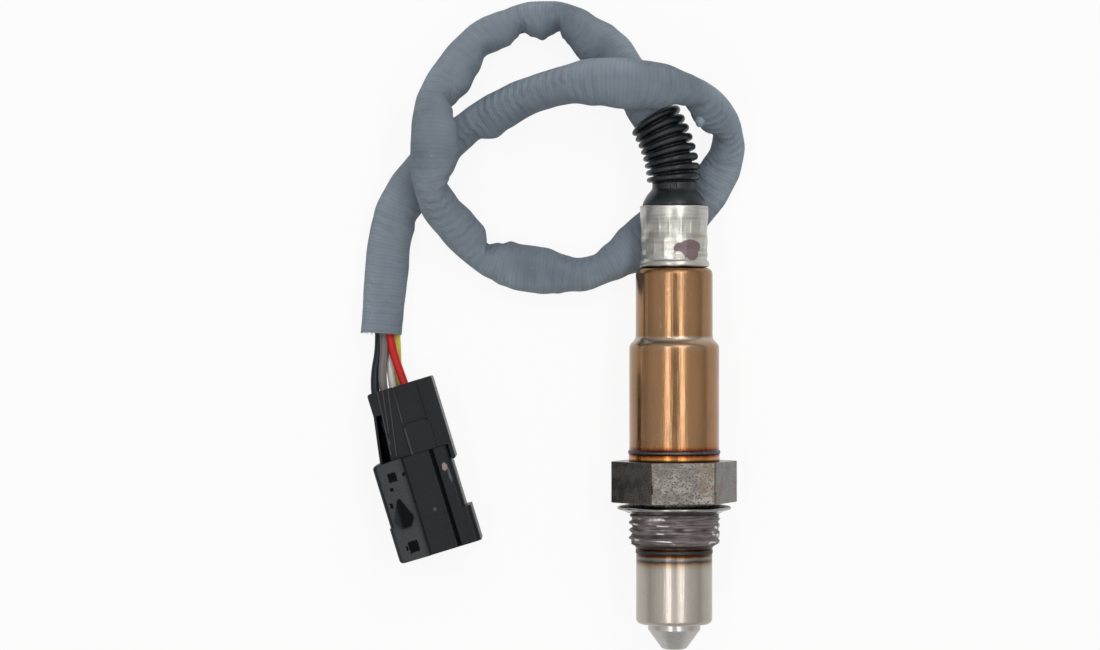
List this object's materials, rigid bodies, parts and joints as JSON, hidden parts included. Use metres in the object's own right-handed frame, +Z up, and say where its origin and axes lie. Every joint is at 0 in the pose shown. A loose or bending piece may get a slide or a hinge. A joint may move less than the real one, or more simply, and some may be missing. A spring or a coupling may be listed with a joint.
{
  "type": "exhaust oxygen sensor with harness",
  "caption": "Wideband exhaust oxygen sensor: threaded hexagon housing, protection tubes, heat-tinted sleeve, rubber bellows boot, looped woven harness and flat plug with locking ramp.",
  "frame": {"origin": "on the thread axis, in the plane where the sealing ring meets the exhaust boss", "axes": "-Y along the thread axis towards the probe tip, +Z up from the table that the sensor lies on"},
  "size_m": [0.0786, 0.1304, 0.0251],
  "materials": {
    "housing_steel": "matt, granular, darkened by heat",
    "gasket_steel": "satin",
    "tube_steel": "satin, heat tinted",
    "tinted_steel": "satin, straw and bronze heat tint",
    "crimp_steel": "satin, crimp marks",
    "inner_steel": "plain",
    "boot_rubber": "matt black",
    "strip_ceramic": "matt",
    "bush_ceramic": "matt",
    "talc": "pressed powder",
    "woven_grey": "coated woven sleeve, matt",
    "insulation_black": "satin",
    "insulation_grey": "satin",
    "insulation_white": "satin",
    "insulation_red": "satin",
    "insulation_yellow": "satin",
    "plug_plastic": "moulded, matt, scuffed",
    "seal_rubber": "matt",
    "contact_metal": "tinned",
    "chip_ceramic": "matt"
  },
  "bodies": {
    "root": {"bellows_grommet": "boot_rubber", "cavity_plug": "seal_rubber", "connector_hood": "plug_plastic", "connector_wire_cover": "plug_plastic", "contact_black": "contact_metal", "contact_grey": "contact_metal", "contact_holder_front": "bush_ceramic", "contact_holder_rear": "bush_ceramic", "contact_red": "contact_metal", "contact_spring_clip": "inner_steel", "contact_white": "contact_metal", "contact_yellow": "contact_metal", "crimp_sleeve": "crimp_steel", "harness_sleeve": "woven_grey", "hex_housing": "housing_steel", "inner_protection_tube": "tube_steel", "lower_ceramic_bush": "bush_ceramic", "outer_protection_tube": "tube_steel", "protective_sleeve": "tinted_steel", "retaining_ring": "inner_steel", "sealing_ring": "gasket_steel", "sensing_element": "strip_ceramic", "talc_seal": "talc", "terminal_black": "contact_metal", "terminal_grey": "contact_metal", "terminal_lock": "plug_plastic", "terminal_red": "contact_metal", "terminal_trim": "contact_metal", "terminal_white": "contact_metal", "terminal_yellow": "contact_metal", "trim_resistor": "chip_ceramic", "upper_ceramic_bush": "bush_ceramic", "wire_black": "insulation_black", "wire_grey": "insulation_grey", "wire_red": "insulation_red", "wire_seal_black": "seal_rubber", "wire_seal_grey": "seal_rubber", "wire_seal_red": "seal_rubber", "wire_seal_white": "seal_rubber", "wire_seal_yellow": "seal_rubber", "wire_white": "insulation_white", "wire_yellow": "insulation_yellow"}
  },
  "joints": []
}
